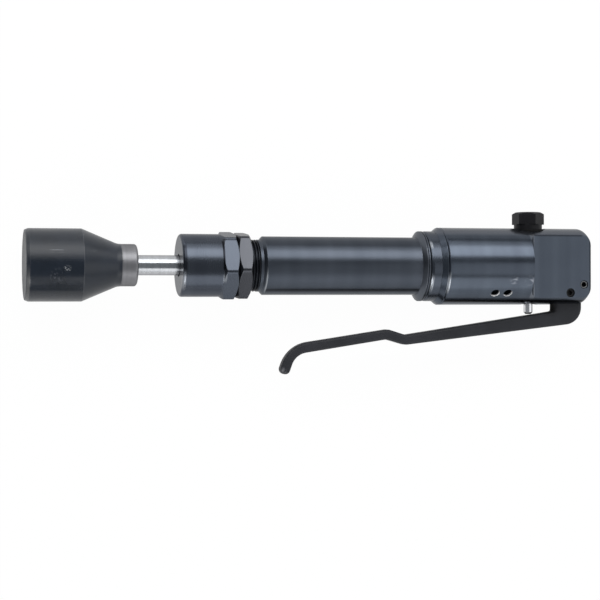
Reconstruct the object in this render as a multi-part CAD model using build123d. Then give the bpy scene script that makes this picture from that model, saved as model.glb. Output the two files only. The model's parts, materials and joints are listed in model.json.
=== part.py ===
from build123d import *
import math
import os

# Frame: the tool axis is X, the air inlet face is X = 0 and the butt points to -X.
# The valve cap points to +Y, the lever hangs to -Y, the tool lies on its side with +Z up.

# Butt
BUTT_RADIUS = 23.4
BUTT_CYLINDER = 36.0
BUTT_CONE = 25.0
BUTT_NECK_RADIUS = 13.75
BUTT_NECK = 2.0
BUTT_NECK_FILLET = 9.0
BUTT_RIM = 2.4
BUTT_RIM_DROP = 0.9
BUTT_EDGE = 0.6
CORE_COLLAR_RADIUS = 13.65
CORE_COLLAR = 10.4
CORE_COLLAR_EDGE = 1.8
CORE_STEM_RADIUS = 9.5
CORE_FLANGE_RADIUS = 17.0
CORE_FLANGE = 5.0
CORE_DEPTH = 37.0
CORE_FLANGE_EDGE = 1.5
BOND = 0.05

# Rod and piston
ROD_RADIUS = 6.5
ROD_SHOWN = 27.6
ROD_SOCKET = 4.0
ROD_TAIL_RADIUS = 5.5
ROD_TAIL = 30.0
ROD_TAIL_CHAMFER = 1.0
ROD_TAIL_ROOM = 0.5
PISTON_RADIUS = 10.9
PISTON_LENGTH = 30.0
PISTON_BACK = 26.5
PISTON_EDGE = 0.8
PISTON_SHOULDER = 2.0
RING_WIDTH = 2.0
RING_PITCH = 5.0
RING_FIRST = 5.0
RING_GROOVE_RADIUS = 9.3
RING_PLAY = 0.05
RING_SPLIT = 0.8

# Barrel
BORE_RADIUS = 11.0
BARREL_RADIUS = 19.25
BARREL_LENGTH = 106.9
BARREL_CHAMFER = 2.0
BARREL_END_CHAMFER = 0.8
FRONT_THREAD_RADIUS = 16.4
THREAD_ROOT_RADIUS = 15.9
THREAD_SHOWN = 5.7
SHOULDER = 2.0
SHOULDER_RADIUS = 17.1
SHOULDER_EDGE = 0.4
REAR_THREAD_RADIUS = 18.0
FLANGE_RADIUS = 23.5
FLANGE = 1.9
FLANGE_CONE = 2.2
FLANGE_GROOVE = 0.5
FLANGE_GROOVE_BACK = 0.9
FLANGE_GROOVE_DEPTH = 0.5
PASSAGE_RADIUS = 1.6
PASSAGE_CIRCLE = 14.2
PASSAGE_PORT = 5.0
FRONT_PORT = 13.7
EXHAUST_PORT = 62.7
THREAD_PLAY = 0.05

# Gland nut and lock nut
GLAND_COLLAR = 26.4
GLAND_RADIUS = 20.5
GLAND_EDGE = 1.8
GLAND_WALL = 3.0
GLAND_HOLE_RADIUS = 7.4
PACKING_RADIUS = 12.0
HEX_FLATS = 41.0
GLAND_HEX = 10.3
LOCK_NUT = 8.9
HEX_CHAMFER = 2.1
HEX_CORNER = 2.6
HEX_FACE_INSET = 0.2
GLAND_HEX_TURN = 41.4
LOCK_HEX_TURN = 38.0
WIPER = 4.0
WASHER = 1.5
WASHER_PLAY = 0.2
PACKING = 5.7
PACKING_PLAY = 0.1
PACKING_LIP = 1.6
BUSH_FLANGE_RADIUS = 15.6
BUSH_FLANGE = 4.2
BUSH = 22.0
RUNNING_PLAY = 0.05

# Barrel lock ring
LOCK_RING = 7.9
LOCK_RING_EDGE = 2.4
JOINT_GAP = 0.2

# Throttle body
BODY_LENGTH = 108.6
BODY_RADIUS = 26.0
BODY_CHAMFER = 3.3
BODY_REAR_EDGE = 5.5
BODY_GROOVE = 1.4
BODY_GROOVE_DEPTH = 1.2
BODY_GROOVE_LAND = 0.2
FLAT_HALF = 15.0
FLAT_LENGTH = 44.8
FLAT_CORNER = 7.0
BARREL_SHARE = 0.1713
CHEST_SHARE = 0.4843
SOCKET_RUNOUT = 3.4
CHEST_RADIUS = 17.6
PLENUM_RADIUS = 16.2
PLENUM = 2.5
ANNULUS_RADIUS = 19.6
ANNULUS = 16.0
EXHAUST_RADIUS = 3.1
EXHAUST_DROP = 44.8
EXHAUST_SHARE = 0.3955
EXHAUST_PITCH = 8.9
INLET_RADIUS = 6.15
INLET_DEPTH = 17.0
INLET_BORE_RADIUS = 5.0

# Valve chest
CHEST_PLAY = 0.1
CASE_SHARE = 0.6174
CASE_WALL = 7.65
CHEST_SEAL = 1.6
CHEST_PORT_RADIUS = 4.0
SHUTTLE_RADIUS = 9.0
SHUTTLE_TRAVEL = 3.0
SHUTTLE_STOP = 0.35
SHUTTLE_GROOVE = 3.0
SHUTTLE_GROOVE_RADIUS = 7.2
CHEST_HOLE_RADIUS = 1.6
CHEST_HOLE_CIRCLE = 12.0
DOWEL_RADIUS = 1.5
DOWEL_CIRCLE = 13.2
DOWEL_LENGTH = 12.0
DOWEL_ROOM = 0.2
CHEST_SEAL_RADIUS = 17.4
BARREL_RING = 2.0
BARREL_RING_BACK = 4.0
BARREL_RING_RADIUS = 16.6

# Throttle valve, on its own axis along Y
VALVE_BACK = 39.6
SPOTFACE_RADIUS = 11.6
SPOTFACE_DEPTH = 2.6
CAP_THREAD_RADIUS = 9.0
CAP_THREAD = 12.4
CAP_THREAD_CHAMFER = 0.8
CAP_NECK_RADIUS = 9.55
CAP_NECK = 3.7
CAP_HEX = 8.4
CAP_FLATS = 19.0
CAP_CORNER = 0.6
CAP_HEX_TURN = 35.9
CAP_CROWN = 1.4
CAP_CROWN_INSET = 1.0
CAP_STEM_ROOM = 2.0
GASKET = 1.5
GASKET_RADIUS = 11.3
VALVE_CHAMBER_RADIUS = 8.2
VALVE_CHAMBER_TOP_Y = 9.0
SEAT_TOP_Y = -5.2
SEAT = 4.0
SEAT_RADIUS = 7.2
SEAT_BORE_RADIUS = 4.4
VALVE_LIFT = 4.0
VALVE_REST_GAP = 0.3
VALVE_DISC_RADIUS = 6.6
VALVE_DISC = 3.2
VALVE_DISC_EDGE = 0.8
VALVE_STEM_RADIUS = 2.5
VALVE_STEM_TOP_Y = 17.0
VALVE_BOSS = 0.9
SPRING_RADIUS = 4.6
SPRING_WIRE = 0.6
SPRING_TURNS = 5
SPRING_END = 0.1
LOWER_CHAMBER_RADIUS = 5.2
FEED_RADIUS = 3.0
FEED_Y = -13.0
PIN_RADIUS = 3.0
PIN_SHOWN = 7.3
PIN_DOME = 1.2
PIN_BUSH_RADIUS = 5.6
PIN_BUSH_DEPTH = 9.0
PIN_SPOT_DEPTH = 0.9
PIN_SPOT_RADIUS = 6.4
PIN_RING_DEPTH = 5.0
PIN_RING = 1.8
PIN_RING_RADIUS = 4.5

# Throttle lever and its pins
LEVER_WIDTH = 11.0
LEVER_TIP_WIDTH = 8.0
LEVER_EDGE = 1.8
LEVER_FOOT_DROP = 4.5
LEVER_STEP_X = -128.3
LEVER_STEP_DROP = 20.0
LEVER_RISE_X = -140.3
LEVER_RISE_DROP = 16.2
LEVER_FOOT_RADIUS = 1.5
LEVER_STEP_RADIUS = 5.0
LEVER_KNUCKLE_RADIUS = 9.0
LEVER_RISE_RADIUS = 9.0
LEVER_UNDER_SHIFT = 1.0
LEVER_BEND_X = -208.5
LEVER_BEND_DROP = 26.3
LEVER_BEND_RADIUS = 22.0
LEVER_CROOK_X = -203.6
LEVER_CROOK_DROP = 32.5
LEVER_CROOK_RADIUS = 12.0
LEVER_TIP = 6.8
LEVER_TIP_ROUND = 3.3
LEVER_TIP_X = -210.5
LEVER_TIP_DROP = 42.1
LEVER_TIP_LEAN = 21.0
LEVER_HEEL_X = -2.4
LEVER_HEEL_DROP = 12.5
LEVER_HEEL_RADIUS = 12.0
LEVER_HEEL_EDGE = 2.4
PIVOT_X = -14.7
PIVOT_DEPTH = 8.0
PIVOT_RADIUS = 3.0
PIVOT_SUNK = 1.2
PIVOT_SOCKET_FLATS = 3.6
PIVOT_SOCKET_DEPTH = 2.6
EAR_RADIUS = 7.4
STOP_X = -4.8
STOP_DEPTH = 13.6
STOP_RADIUS = 2.75
STOP_BORE_RADIUS = 1.85
STOP_SUNK = 0.5
STOP_GAP = 0.35
SLOT_LENGTH = 24.4
SLOT_DEPTH = 16.4
SLOT_PLAY = 0.4

# Inlet strainer
STRAINER_WALL = 0.8
STRAINER_LENGTH = 13.0
STRAINER_HOLE_RADIUS = 0.9
STRAINER_CIRCLE = 2.6

# How far a cut runs past the surface it opens
PAST = 4.0

WORK = {}

# Stations along the axis, from the inlet face forward to the butt
valve_x = -VALVE_BACK
body_front = -BODY_LENGTH
lock_ring_front = body_front - LOCK_RING
flange_rear = lock_ring_front - JOINT_GAP
flange_land = flange_rear - FLANGE
flange_start = flange_land - FLANGE_CONE
barrel_front = flange_start - BARREL_LENGTH
shoulder_front = barrel_front - SHOULDER
lock_nut_rear = shoulder_front - THREAD_SHOWN
hex_joint = lock_nut_rear - LOCK_NUT
hex_start = hex_joint - GLAND_HEX
gland_face = hex_start - GLAND_COLLAR
gland_shoulder = gland_face + GLAND_WALL + WIPER + WASHER + PACKING
barrel_end = gland_shoulder + BUSH_FLANGE
core_rear = gland_face - ROD_SHOWN
core_face = core_rear - CORE_COLLAR
butt_face = core_face - BUTT_CONE - BUTT_CYLINDER

# Stations inside the throttle body, from its front face back to the valve chest's end
barrel_tail = body_front + BARREL_SHARE * BODY_LENGTH
piston_rear = barrel_tail - PISTON_BACK
chest_shoulder = body_front + CHEST_SHARE * BODY_LENGTH
cover_rear = chest_shoulder - CHEST_SEAL
case_rear = barrel_tail + CASE_SHARE * (cover_rear - barrel_tail)
exhaust_middle = body_front + EXHAUST_SHARE * BODY_LENGTH
exhaust_xs = [exhaust_middle - EXHAUST_PITCH / 2, exhaust_middle + EXHAUST_PITCH / 2]

# Heights on the valve axis and under the body, from the body's round
spotface_y = BODY_RADIUS - SPOTFACE_DEPTH
cap_seat_y = spotface_y + GASKET
cap_hex_y = cap_seat_y + CAP_NECK
cap_top_y = cap_hex_y + CAP_HEX
cap_bottom_y = spotface_y - CAP_THREAD
lower_chamber_y = PIN_BUSH_DEPTH - BODY_RADIUS
pin_bush_face_y = PIN_SPOT_DEPTH - BODY_RADIUS
pin_ring_y = PIN_RING_DEPTH - BODY_RADIUS
pin_end_y = pin_bush_face_y - PIN_SHOWN
pivot_y = PIVOT_DEPTH - BODY_RADIUS
stop_y = STOP_DEPTH - BODY_RADIUS
slot_top_y = SLOT_DEPTH - BODY_RADIUS


def turned(points):
    """Turned solid about the tool axis from (x, radius) points."""
    return revolve(make_face(Polyline(*points, close=True)), axis=Axis.X)


def turned_on_valve(points):
    """Turned solid about the valve axis from (radius, y) points."""
    solid = revolve(make_face(Polyline(*points, close=True)), axis=Axis.Y)
    return Pos(valve_x, 0, 0) * solid


def ring_on_axis(front, rear, outer, inner):
    """Plain ring about the tool axis."""
    return turned([(front, inner), (rear, inner), (rear, outer), (front, outer)])


def ring_on_valve(bottom, top, outer, inner):
    """Plain ring about the valve axis."""
    return turned_on_valve([(inner, bottom), (outer, bottom), (outer, top), (inner, top)])


def rod_along_x(front, rear, radius, y=0.0, z=0.0):
    """Plain round bar along X."""
    middle = (front + rear) / 2
    return Pos(middle, y, z) * Rot(0, 90, 0) * Cylinder(radius, rear - front)


def rod_along_z(x, y, low, high, radius):
    """Plain round bar along Z."""
    return Pos(x, y, (low + high) / 2) * Cylinder(radius, high - low)


def hex_along_x(front, rear, flats, turn):
    """Hexagon bar along X with rounded corners."""
    outline = RegularPolygon(flats / 2, 6, major_radius=False, rotation=turn)
    outline = fillet(outline.vertices(), HEX_CORNER)
    return Pos(front, 0, 0) * extrude(Plane.YZ * outline, rear - front)


def chamfered_hex(front, rear, flats, turn):
    """Hexagon bar with turned chamfers at both ends."""
    corner = flats / math.sqrt(3)
    low = flats / 2 - HEX_FACE_INSET
    form = turned([
        (front, 0),
        (front, low),
        (front + HEX_CHAMFER, corner + 0.1),
        (rear - HEX_CHAMFER, corner + 0.1),
        (rear, low),
        (rear, 0),
    ])
    return hex_along_x(front, rear, flats, turn) & form


def on_circle(radius, degrees):
    """Y and Z of a point on a circle about the tool axis."""
    angle = math.radians(degrees)
    return radius * math.cos(angle), radius * math.sin(angle)


# Butt: rubber moulded round a steel core
core_front = core_face - CORE_DEPTH


def core_shape(grow):
    """Steel core outline, grown a little for the rubber round it."""
    outline = Polyline(
        (core_front - grow, 0),
        (core_front - grow, CORE_FLANGE_RADIUS + grow),
        (core_front + CORE_FLANGE + grow, CORE_FLANGE_RADIUS + grow),
        (core_front + CORE_FLANGE + grow, CORE_STEM_RADIUS + grow),
        (core_face, CORE_STEM_RADIUS + grow),
        (core_face, CORE_COLLAR_RADIUS),
        (core_rear, CORE_COLLAR_RADIUS),
        (core_rear, 0),
        close=True,
    )
    face = make_face(outline)
    edge = face.vertices().sort_by(Axis.Y)[-2:]
    face = fillet(edge, CORE_FLANGE_EDGE + grow)
    rim = [v for v in face.vertices() if abs(v.X - core_rear) < 0.01 and v.Y > 1]
    return revolve(fillet(rim, CORE_COLLAR_EDGE), axis=Axis.X)


tail_front = core_rear - ROD_SOCKET - ROD_TAIL
socket = rod_along_x(core_rear - ROD_SOCKET, core_rear + 1, ROD_RADIUS + THREAD_PLAY)
tail_hole = rod_along_x(tail_front - ROD_TAIL_ROOM, core_rear, ROD_TAIL_RADIUS + THREAD_PLAY)
WORK["butt_core"] = core_shape(0) - socket - tail_hole

rubber = make_face(Polyline(
    (butt_face, 0),
    (butt_face, BUTT_RADIUS - BUTT_RIM_DROP),
    (butt_face + BUTT_RIM, BUTT_RADIUS),
    (butt_face + BUTT_CYLINDER, BUTT_RADIUS),
    (core_face - BUTT_NECK, BUTT_NECK_RADIUS),
    (core_face, BUTT_NECK_RADIUS),
    (core_face, 0),
    close=True,
))
rim = [v for v in rubber.vertices() if v.X < butt_face + BUTT_RIM + 0.01 and v.Y > 1]
rubber = fillet(rim, BUTT_EDGE)
neck = [v for v in rubber.vertices() if abs(v.X - core_face + BUTT_NECK) < 0.01]
rubber = fillet(neck, BUTT_NECK_FILLET)
WORK["rubber_butt"] = revolve(rubber, axis=Axis.X) - core_shape(BOND)

# Piston rod with its piston, and the split rings
piston_front = piston_rear - PISTON_LENGTH
rod = turned([
    (tail_front, 0),
    (tail_front, ROD_TAIL_RADIUS - ROD_TAIL_CHAMFER),
    (tail_front + ROD_TAIL_CHAMFER, ROD_TAIL_RADIUS),
    (core_rear - ROD_SOCKET, ROD_TAIL_RADIUS),
    (core_rear - ROD_SOCKET, ROD_RADIUS),
    (piston_front, ROD_RADIUS),
    (piston_front + PISTON_SHOULDER, PISTON_RADIUS),
    (piston_rear - PISTON_EDGE, PISTON_RADIUS),
    (piston_rear, PISTON_RADIUS - PISTON_EDGE),
    (piston_rear, 0),
])
ring_starts = [piston_rear - RING_FIRST - RING_WIDTH - i * RING_PITCH for i in range(2)]
rings = []
for i, start in enumerate(ring_starts):
    rod -= ring_on_axis(start, start + RING_WIDTH, PISTON_RADIUS + 1, RING_GROOVE_RADIUS)
    ring = ring_on_axis(
        start + RING_PLAY,
        start + RING_WIDTH - RING_PLAY,
        BORE_RADIUS - RING_PLAY,
        RING_GROOVE_RADIUS + RING_PLAY,
    )
    split = Pos(start, BORE_RADIUS, 0) * Box(PAST + RING_WIDTH, PAST, RING_SPLIT)
    rings.append(ring - Rot(180 * i, 0, 0) * split)
WORK["piston_rod"] = rod
WORK["piston_rings"] = Compound(children=rings)

# Barrel with both threads, front shoulder, rear flange and air passages
flange_slit = flange_rear - FLANGE_GROOVE_BACK
barrel = turned([
    (barrel_end, BORE_RADIUS),
    (barrel_end, FRONT_THREAD_RADIUS - BARREL_END_CHAMFER),
    (barrel_end + BARREL_END_CHAMFER, FRONT_THREAD_RADIUS),
    (lock_nut_rear, FRONT_THREAD_RADIUS),
    (lock_nut_rear, THREAD_ROOT_RADIUS),
    (shoulder_front, THREAD_ROOT_RADIUS),
    (shoulder_front, SHOULDER_RADIUS - SHOULDER_EDGE),
    (shoulder_front + SHOULDER_EDGE, SHOULDER_RADIUS),
    (barrel_front, SHOULDER_RADIUS),
    (barrel_front + BARREL_CHAMFER, BARREL_RADIUS),
    (flange_start, BARREL_RADIUS),
    (flange_land, FLANGE_RADIUS),
    (flange_slit - FLANGE_GROOVE, FLANGE_RADIUS),
    (flange_slit - FLANGE_GROOVE, FLANGE_RADIUS - FLANGE_GROOVE_DEPTH),
    (flange_slit, FLANGE_RADIUS - FLANGE_GROOVE_DEPTH),
    (flange_slit, FLANGE_RADIUS),
    (flange_rear, FLANGE_RADIUS),
    (flange_rear, REAR_THREAD_RADIUS),
    (barrel_tail, REAR_THREAD_RADIUS),
    (barrel_tail, BORE_RADIUS),
])
for back, degrees in ((FRONT_PORT, 30), (EXHAUST_PORT, 210)):
    port_x = barrel_front + back
    y, z = on_circle(PASSAGE_CIRCLE, degrees)
    barrel -= rod_along_x(port_x, barrel_tail + 1, PASSAGE_RADIUS, y, z)
    port = Pos(port_x + PASSAGE_RADIUS, 0, 0) * Rot(degrees, 0, 0)
    port_drill = Rot(90, 0, 0) * Cylinder(PASSAGE_RADIUS, PASSAGE_PORT)
    barrel -= port * Pos(0, PASSAGE_CIRCLE - PASSAGE_PORT / 2, 0) * port_drill
ring_front = barrel_tail - BARREL_RING_BACK
ring_rear = ring_front + BARREL_RING
barrel -= ring_on_axis(ring_front, ring_rear, REAR_THREAD_RADIUS + 1, BARREL_RING_RADIUS)
WORK["barrel"] = barrel
WORK["barrel_ring"] = ring_on_axis(
    ring_front + RING_PLAY,
    ring_rear - RING_PLAY,
    REAR_THREAD_RADIUS,
    BARREL_RING_RADIUS + RING_PLAY,
)

# Gland nut with its hexagon, and the lock nut behind it
thread_hole = FRONT_THREAD_RADIUS + THREAD_PLAY
gland_outline = make_face(Polyline(
    (gland_face, 0),
    (gland_face, GLAND_RADIUS),
    (hex_joint, GLAND_RADIUS),
    (hex_joint, 0),
    close=True,
))
rim = [v for v in gland_outline.vertices() if abs(v.X - gland_face) < 0.01 and v.Y > 1]
gland = revolve(fillet(rim, GLAND_EDGE), axis=Axis.X)
gland += chamfered_hex(hex_start, hex_joint, HEX_FLATS, GLAND_HEX_TURN)
gland -= rod_along_x(gland_face - 1, gland_shoulder, GLAND_HOLE_RADIUS)
gland -= rod_along_x(gland_face + GLAND_WALL, gland_shoulder, PACKING_RADIUS)
gland -= rod_along_x(gland_shoulder, hex_joint + 1, thread_hole)
WORK["gland_nut"] = gland
lock_nut = chamfered_hex(hex_joint, lock_nut_rear, HEX_FLATS, LOCK_HEX_TURN)
WORK["lock_nut"] = lock_nut - rod_along_x(hex_joint - 1, lock_nut_rear + 1, thread_hole)

# Rod wiper, washer, packing and bush inside the gland
rod_hole = ROD_RADIUS + RUNNING_PLAY
pack_outer = PACKING_RADIUS - PACKING_PLAY
wiper_front = gland_face + GLAND_WALL
wiper_rear = wiper_front + WIPER
WORK["rod_wiper"] = turned([
    (wiper_front, pack_outer),
    (wiper_front, rod_hole + PACKING_LIP),
    (wiper_front + PACKING_LIP, rod_hole),
    (wiper_rear, rod_hole),
    (wiper_rear, pack_outer),
])
washer_rear = wiper_rear + WASHER
WORK["packing_washer"] = ring_on_axis(wiper_rear, washer_rear, pack_outer, ROD_RADIUS + WASHER_PLAY)
packing_rear = gland_shoulder
WORK["rod_packing"] = turned([
    (washer_rear, pack_outer),
    (washer_rear, rod_hole),
    (packing_rear, rod_hole),
    (packing_rear, rod_hole + PACKING_LIP),
    (packing_rear - PACKING_LIP, rod_hole + PACKING_LIP),
    (packing_rear - PACKING_LIP, pack_outer - PACKING_LIP),
    (packing_rear, pack_outer - PACKING_LIP),
    (packing_rear, pack_outer),
])
WORK["rod_bush"] = turned([
    (gland_shoulder, rod_hole),
    (gland_shoulder, BUSH_FLANGE_RADIUS),
    (barrel_end, BUSH_FLANGE_RADIUS),
    (barrel_end, BORE_RADIUS - RUNNING_PLAY),
    (barrel_end + BUSH, BORE_RADIUS - RUNNING_PLAY),
    (barrel_end + BUSH, rod_hole),
])

# Lock ring between barrel flange and throttle body
rear_thread_hole = REAR_THREAD_RADIUS + THREAD_PLAY
lock_ring = make_face(Polyline(
    (lock_ring_front, rear_thread_hole),
    (lock_ring_front, FLANGE_RADIUS),
    (body_front, FLANGE_RADIUS),
    (body_front, rear_thread_hole),
    close=True,
))
rim = lock_ring.vertices().sort_by(Axis.X)[:2].sort_by(Axis.Y)[-1]
WORK["barrel_lock_ring"] = revolve(fillet(rim, LOCK_RING_EDGE), axis=Axis.X)

# Throttle body: turned, milled with two flats, bored for chest, valve, pin and inlet
body_groove = body_front + BODY_CHAMFER + BODY_GROOVE_LAND
body_outline = make_face(Polyline(
    (body_front, 0),
    (body_front, FLANGE_RADIUS),
    (body_front + BODY_CHAMFER, BODY_RADIUS),
    (body_groove, BODY_RADIUS),
    (body_groove, BODY_RADIUS - BODY_GROOVE_DEPTH),
    (body_groove + BODY_GROOVE, BODY_RADIUS),
    (0, BODY_RADIUS),
    (0, 0),
    close=True,
))
rim = [v for v in body_outline.vertices() if abs(v.X) < 0.01 and v.Y > 1]
body = revolve(fillet(rim, BODY_REAR_EDGE), axis=Axis.X)
flat_cut = make_face(Polyline(
    (-FLAT_LENGTH, BODY_RADIUS + PAST),
    (-FLAT_LENGTH, FLAT_HALF),
    (PAST, FLAT_HALF),
    (PAST, BODY_RADIUS + PAST),
    close=True,
))
corner = flat_cut.vertices().sort_by(Axis.X)[:2].sort_by(Axis.Y)[0]
flat_cut = fillet(corner, FLAT_CORNER)
mill = Rot(90, 0, 0) * extrude(flat_cut, BODY_RADIUS + PAST, both=True)
body -= mill
body -= mirror(mill, about=Plane.XY)
socket_rear = barrel_tail + SOCKET_RUNOUT
body -= rod_along_x(body_front - 1, socket_rear, rear_thread_hole)
body -= rod_along_x(socket_rear, chest_shoulder, CHEST_RADIUS)
body -= rod_along_x(chest_shoulder, chest_shoulder + PLENUM, PLENUM_RADIUS)
body -= rod_along_x(exhaust_middle - ANNULUS / 2, exhaust_middle + ANNULUS / 2, ANNULUS_RADIUS)
exhaust_length = BODY_RADIUS - ANNULUS_RADIUS + 2 * PAST
exhaust_drill = Pos(0, 0, (ANNULUS_RADIUS + BODY_RADIUS) / 2) * Cylinder(EXHAUST_RADIUS, exhaust_length)
for hole_x in exhaust_xs:
    body -= Pos(hole_x, 0, 0) * Rot(EXHAUST_DROP, 0, 0) * exhaust_drill
body -= rod_along_x(-INLET_DEPTH, 1, INLET_RADIUS)
body -= rod_along_x(valve_x, -INLET_DEPTH, INLET_BORE_RADIUS)
seat_bottom = SEAT_TOP_Y - SEAT
body -= ring_on_valve(spotface_y, BODY_RADIUS + PAST, SPOTFACE_RADIUS, 0)
body -= ring_on_valve(VALVE_CHAMBER_TOP_Y, spotface_y, CAP_THREAD_RADIUS + THREAD_PLAY, 0)
body -= ring_on_valve(SEAT_TOP_Y, VALVE_CHAMBER_TOP_Y, VALVE_CHAMBER_RADIUS, 0)
body -= ring_on_valve(seat_bottom, SEAT_TOP_Y, SEAT_RADIUS, 0)
body -= ring_on_valve(lower_chamber_y, seat_bottom, LOWER_CHAMBER_RADIUS, 0)
body -= ring_on_valve(-BODY_RADIUS - PAST, lower_chamber_y, PIN_BUSH_RADIUS, 0)
body -= ring_on_valve(-BODY_RADIUS - PAST, pin_bush_face_y, PIN_SPOT_RADIUS, 0)
body -= rod_along_x(chest_shoulder, valve_x, FEED_RADIUS, FEED_Y)
slot_width = LEVER_WIDTH + 2 * SLOT_PLAY
slot_low = -BODY_RADIUS - PAST
slot_front = -SLOT_LENGTH
slot = Box(PAST - slot_front, slot_top_y - slot_low, slot_width)
body -= Pos((PAST + slot_front) / 2, (slot_top_y + slot_low) / 2, 0) * slot
body -= rod_along_z(PIVOT_X, pivot_y, -BODY_RADIUS, BODY_RADIUS, PIVOT_RADIUS + RUNNING_PLAY)
body -= rod_along_z(STOP_X, stop_y, -BODY_RADIUS, BODY_RADIUS, STOP_RADIUS + RUNNING_PLAY)
WORK["throttle_body"] = body

# Valve chest: case, shuttle valve, cover, dowels and seals
chest_outer = CHEST_RADIUS - CHEST_PLAY
shuttle_room = barrel_tail + CASE_WALL
shuttle_front = shuttle_room + SHUTTLE_STOP
case = ring_on_axis(barrel_tail, case_rear, chest_outer, CHEST_PORT_RADIUS)
case -= rod_along_x(shuttle_room, case_rear + 1, SHUTTLE_RADIUS + RUNNING_PLAY)
cover = ring_on_axis(case_rear, cover_rear, chest_outer, CHEST_PORT_RADIUS)
for degrees in (90, 150, 270, 330):
    y, z = on_circle(CHEST_HOLE_CIRCLE, degrees)
    case -= rod_along_x(barrel_tail - 1, case_rear + 1, CHEST_HOLE_RADIUS, y, z)
dowels = []
for degrees in (30, 210):
    y, z = on_circle(DOWEL_CIRCLE, degrees)
    front = case_rear - DOWEL_LENGTH / 2
    rear = case_rear + DOWEL_LENGTH / 2
    dowels.append(rod_along_x(front, rear, DOWEL_RADIUS, y, z))
    hole = rod_along_x(front - DOWEL_ROOM, rear + DOWEL_ROOM, DOWEL_RADIUS + RUNNING_PLAY, y, z)
    case -= hole
    cover -= hole
WORK["valve_case"] = case
WORK["valve_cover"] = cover
WORK["chest_dowels"] = Compound(children=dowels)
shuttle_rear = case_rear - SHUTTLE_STOP - SHUTTLE_TRAVEL
shuttle = ring_on_axis(shuttle_front, shuttle_rear, SHUTTLE_RADIUS, CHEST_PORT_RADIUS)
middle = (shuttle_front + shuttle_rear) / 2
half = SHUTTLE_GROOVE / 2
shuttle -= ring_on_axis(middle - half, middle + half, SHUTTLE_RADIUS + 1, SHUTTLE_GROOVE_RADIUS)
WORK["shuttle_valve"] = shuttle
WORK["chest_seal"] = ring_on_axis(cover_rear, chest_shoulder, CHEST_SEAL_RADIUS, PLENUM_RADIUS)

# Throttle valve cap and gasket
cap_hex = RegularPolygon(CAP_FLATS / 2, 6, major_radius=False, rotation=CAP_HEX_TURN)
cap_hex = fillet(cap_hex.vertices(), CAP_CORNER)
cap_plane = Plane(origin=(valve_x, cap_hex_y, 0), x_dir=(1, 0, 0), z_dir=(0, 1, 0))
cap = extrude(cap_plane * cap_hex, CAP_HEX)
cap_corner = CAP_FLATS / math.sqrt(3)
cap &= turned_on_valve([
    (0, cap_hex_y),
    (cap_corner + 0.1, cap_hex_y),
    (cap_corner + 0.1, cap_top_y - CAP_CROWN),
    (CAP_FLATS / 2 - CAP_CROWN_INSET, cap_top_y),
    (0, cap_top_y),
])
cap += turned_on_valve([
    (0, cap_bottom_y),
    (CAP_THREAD_RADIUS - CAP_THREAD_CHAMFER, cap_bottom_y),
    (CAP_THREAD_RADIUS, cap_bottom_y + CAP_THREAD_CHAMFER),
    (CAP_THREAD_RADIUS, cap_seat_y),
    (CAP_NECK_RADIUS, cap_seat_y),
    (CAP_NECK_RADIUS, cap_hex_y),
    (0, cap_hex_y),
])
stem_hole = VALVE_STEM_RADIUS + RUNNING_PLAY
stem_room = VALVE_STEM_TOP_Y + VALVE_LIFT + CAP_STEM_ROOM
cap -= ring_on_valve(cap_bottom_y - 1, stem_room, stem_hole, 0)
WORK["valve_cap"] = cap
WORK["cap_gasket"] = ring_on_valve(
    spotface_y,
    cap_seat_y,
    GASKET_RADIUS,
    CAP_THREAD_RADIUS + THREAD_PLAY,
)

# Throttle valve, its seat, spring and pin
disc_bottom = SEAT_TOP_Y + VALVE_REST_GAP
disc_top = disc_bottom + VALVE_DISC
boss_bottom = disc_bottom - VALVE_BOSS
WORK["throttle_valve"] = turned_on_valve([
    (0, boss_bottom),
    (PIN_RADIUS, boss_bottom),
    (PIN_RADIUS, disc_bottom),
    (VALVE_DISC_RADIUS, disc_bottom),
    (VALVE_DISC_RADIUS, disc_top - VALVE_DISC_EDGE),
    (VALVE_DISC_RADIUS - VALVE_DISC_EDGE, disc_top),
    (VALVE_STEM_RADIUS, disc_top),
    (VALVE_STEM_RADIUS, VALVE_STEM_TOP_Y),
    (0, VALVE_STEM_TOP_Y),
])
WORK["valve_seat"] = ring_on_valve(seat_bottom, SEAT_TOP_Y, SEAT_RADIUS - RUNNING_PLAY, SEAT_BORE_RADIUS)
spring_low = disc_top + SPRING_WIRE + SPRING_END
spring_high = cap_bottom_y - SPRING_WIRE - SPRING_END
spring_pitch = (spring_high - spring_low) / SPRING_TURNS
coil = Helix(spring_pitch, spring_high - spring_low, SPRING_RADIUS)
wire = Plane(coil @ 0, z_dir=coil % 0) * Circle(SPRING_WIRE)
spring = sweep(wire, path=coil)
WORK["throttle_spring"] = Pos(valve_x, spring_low, 0) * Rot(-90, 0, 0) * spring
WORK["throttle_pin"] = turned_on_valve([
    (0, pin_end_y),
    (PIN_RADIUS - PIN_DOME, pin_end_y),
    (PIN_RADIUS, pin_end_y + PIN_DOME),
    (PIN_RADIUS, boss_bottom),
    (0, boss_bottom),
])
bush = ring_on_valve(
    pin_bush_face_y,
    lower_chamber_y,
    PIN_BUSH_RADIUS - RUNNING_PLAY,
    PIN_RADIUS + RUNNING_PLAY,
)
bush -= ring_on_valve(pin_ring_y - PIN_RING / 2, pin_ring_y + PIN_RING / 2, PIN_RING_RADIUS, 0)
WORK["pin_bush"] = bush
WORK["pin_ring"] = ring_on_valve(
    pin_ring_y - PIN_RING / 2,
    pin_ring_y + PIN_RING / 2,
    PIN_RING_RADIUS,
    PIN_RADIUS + RUNNING_PLAY,
)

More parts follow.
